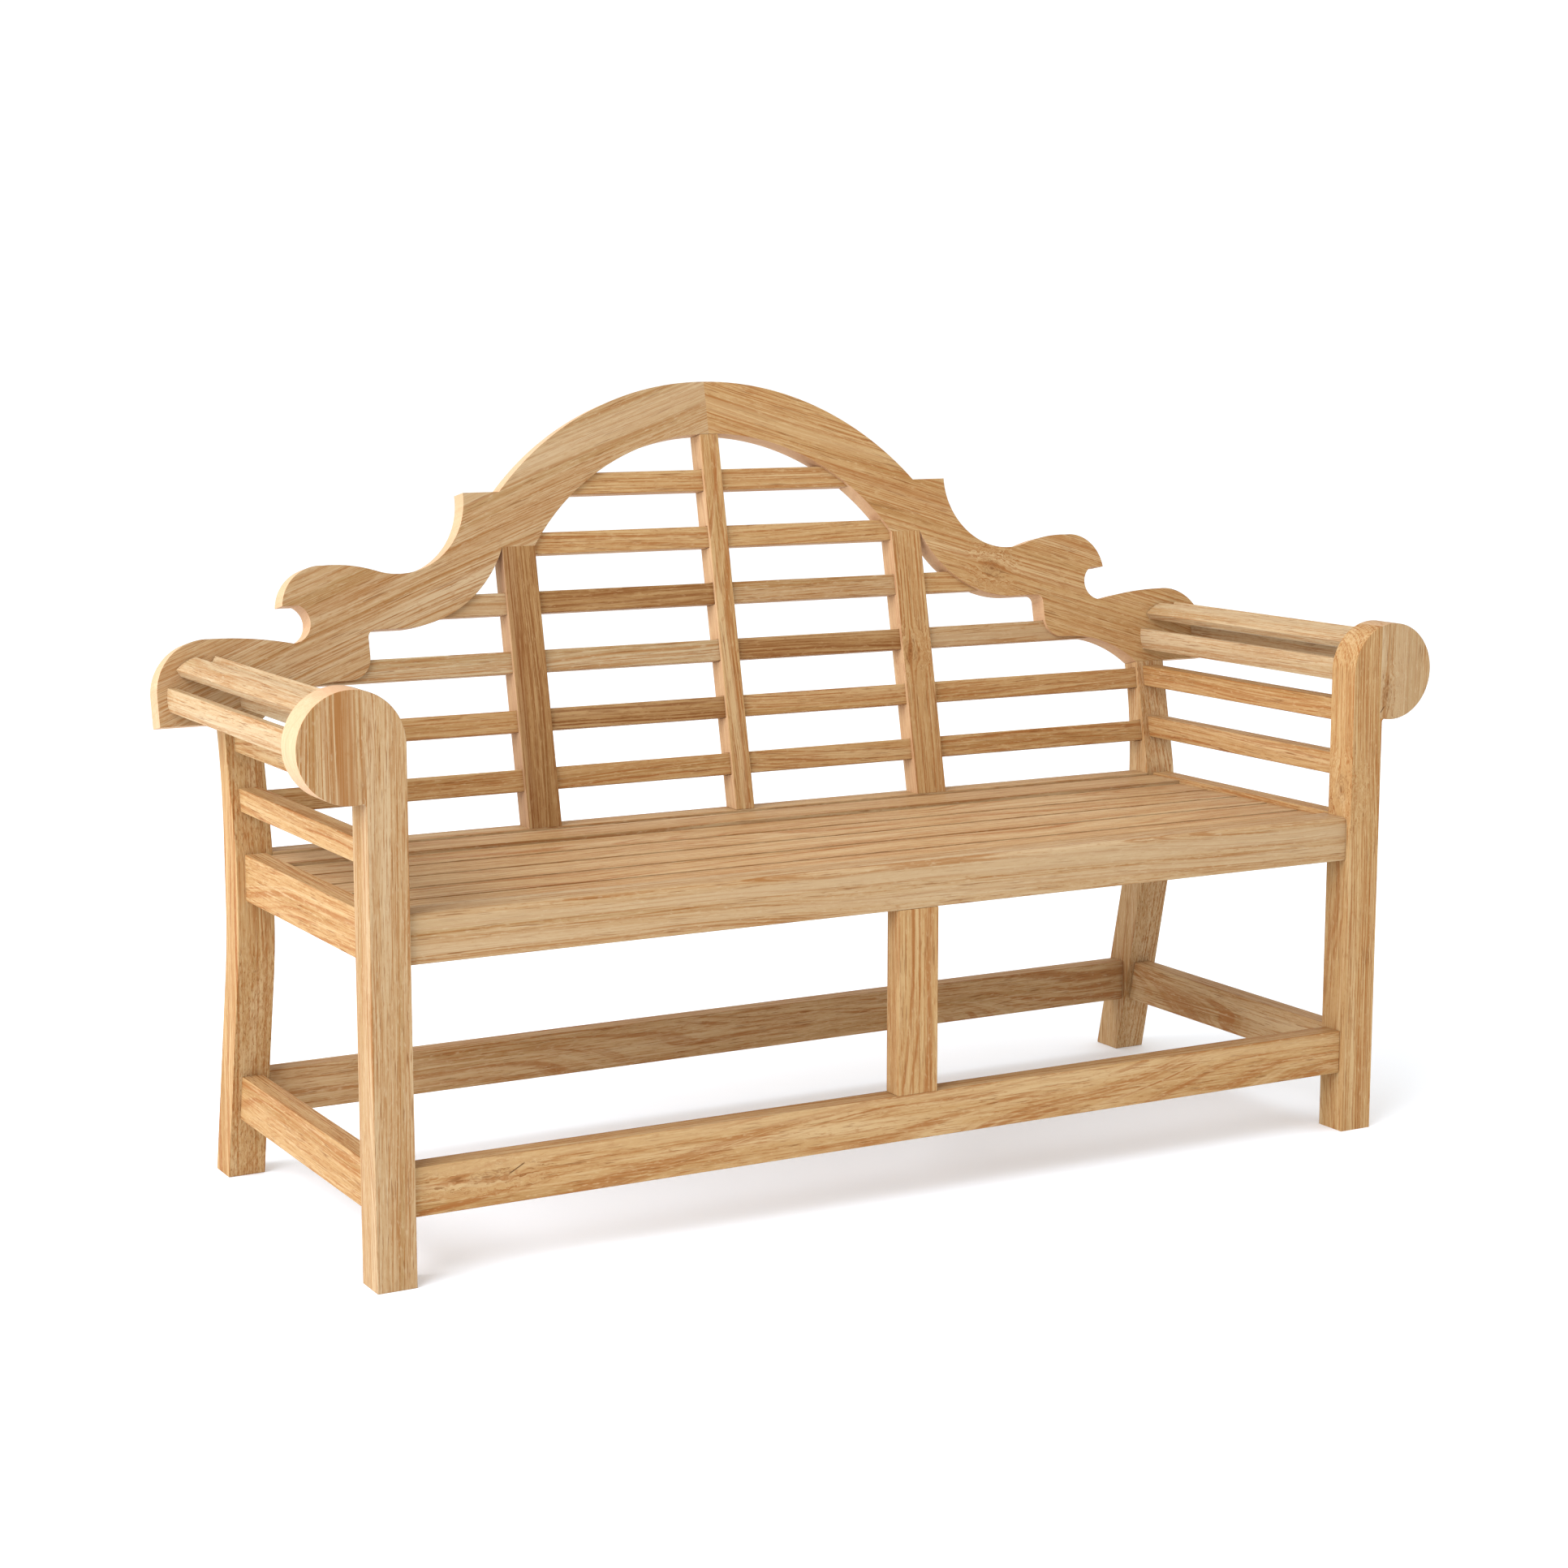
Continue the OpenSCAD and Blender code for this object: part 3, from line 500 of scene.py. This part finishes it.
KNOTS = {
    "arm_cheek_right": [((0.7495, -0.3125, 0.6132), 0.008, 2.0)],
    "back_post_right": [((0.2952, 0.2016, 0.6483), 0.010, 1.3)],
    "crest_right": [((0.4492, 0.2249, 0.7608), 0.010, 1.5)],
    "front_leg_right": [((0.692, -0.290, 0.4827), 0.010, 1.8)],
    "lower_front_rail": [((-0.5985, -0.304, 0.1194), 0.006, 4.5)],
}
CRACKS = {
    "arm_cheek_right": [((0.7455, -0.3125, 0.5975), (0.7385, -0.3125, 0.5885))],
    "lower_front_rail": [((-0.570, -0.304, 0.1190), (-0.549, -0.304, 0.1303))],
}
STRIPES = {
    "arm_cheek_right": [
        (ACROSS, 0.785, 0.030, 0.45, SAP),
        (ACROSS, 0.738, 0.008, 0.35, SAP)],
    "arm_cheek_left": [
        (ACROSS, -0.7625, 0.016, 0.7, LATE),
        (ACROSS, -0.769, 0.007, 0.95, LATE),
        (ACROSS, -0.7565, 0.0025, 0.8, LATE),
        (ACROSS, -0.7790, 0.0025, 0.8, LATE),
        (ACROSS, -0.7890, 0.003, 0.6, LATE),
        (ACROSS, -0.8060, 0.0025, 0.5, LATE)],
    "crest_left": [
        (OVER_CREST_LEFT, 0.975, 0.030, 0.5, SAP),
        (OVER_CREST_LEFT, 0.905, 0.012, 0.35, LATE)],
    "crest_right": [
        (OVER_CREST_RIGHT, 0.930, 0.010, 0.4, LATE),
        (OVER_CREST_RIGHT, 0.965, 0.010, 0.45, SAP)],
    "front_rail": [
        (UP, 0.428, 0.011, 0.7, SAP),
        (UP, 0.402, 0.007, 0.5, SAP)],
    "back_post_left": [(ACROSS, -0.322, 0.010, 0.5, LATE)],
    "back_slat_3_outer_right": [(UP, 0.662, 0.010, 0.6, SAP)],
    "lower_front_rail": [(UP, 0.135, 0.006, 0.5, SAP)],
}


# Where the glued seams stand along the bench
left_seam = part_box("arm_cheek_left")[1].x
right_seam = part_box("arm_cheek_right")[0].x
seams = {
    "arm_cheek_left": left_seam,
    "front_leg_left": left_seam,
    "arm_cheek_right": right_seam,
    "front_leg_right": right_seam,
    "crest_left": 0.0,
    "crest_right": 0.0,
}

# Each board has a seed of its own, in the order of the names
FIRST_SEED = 11

for place, name in enumerate(sorted(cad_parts)):
    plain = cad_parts[name].data.materials
    if "screw" in name:
        plain.clear()
        plain.append(screw_steel("stainless steel, " + name))
    elif "dowel" in name:
        plain.clear()
        plain.append(turned_beech("beech, " + name))
    else:
        board = eased_copy(name, seams.get(name))
        board.data.materials.append(planed_teak(
            "planed teak, " + name.replace("_", " "), fibres_of(name), place + FIRST_SEED,
            tone_of(name, place), figure=figure_of(name), edges=painted_light_on_sides_of(name),
            knots=KNOTS.get(name, ()), stripes=STRIPES.get(name, ()),
            cracks=CRACKS.get(name, ())))


# ---- floor, light and camera ----

def lit_floor(reach):
    """A white floor of frosted sheet, lit from below, so that shadows on it stay thin and grey."""
    mesh = bpy.data.meshes.new("floor")
    corners = [(-reach, -reach, 0), (reach, -reach, 0), (reach, reach, 0), (-reach, reach, 0)]
    mesh.from_pydata(corners, [], [(0, 1, 2, 3)])
    floor = bpy.data.objects.new("floor", mesh)
    bpy.context.scene.collection.objects.link(floor)
    sheet, tree = bare_material("frosted white sheet")
    shader = add(tree, "BsdfPrincipled", {
        "Base Color": "#F2F6FA", "Roughness": 1.0, "Specular IOR Level": 0.0,
        "Emission Color": "#FFFFFF", "Emission Strength": 0.10})
    add(tree, "OutputMaterial", {"Surface": shader})
    mesh.materials.append(sheet)


def softbox(name, place, aim, size, watts, colour):
    """A broad soft lamp at a place, aimed at another."""
    light = bpy.data.lights.new(name, "AREA")
    light.shape = "RECTANGLE"
    light.size, light.size_y = size
    light.energy = watts
    light.color = colour
    lamp = bpy.data.objects.new(name, light)
    lamp.location = place
    lamp.rotation_euler = (Vector(aim) - Vector(place)).to_track_quat("-Z", "Y").to_euler()
    bpy.context.scene.collection.objects.link(lamp)


lit_floor(reach=14.0)
world = bpy.data.worlds.new("studio")
world.use_nodes = True
studio = world.node_tree.nodes["Background"].inputs
studio["Color"].default_value = hex_to_linear("#FFFFFF")
studio["Strength"].default_value = 1.09
bpy.context.scene.world = world
softbox("key softbox", place=(-5.6, -1.4, 4.0), aim=(0, 0, 0.4), size=(7.0, 5.5), watts=620,
        colour=(0.97, 1.0, 1.08))

camera_data = bpy.data.cameras.new("camera")
camera_data.lens = 67.0
camera_data.sensor_width = 36
camera = bpy.data.objects.new("camera", camera_data)
camera.location = (-1.9132, -3.3983, 1.1185)
camera.rotation_euler = (math.radians(90 - 8.97), 0, math.radians(-29.03))
bpy.context.scene.collection.objects.link(camera)
bpy.context.scene.camera = camera
bpy.context.scene.view_settings.view_transform = "Standard"
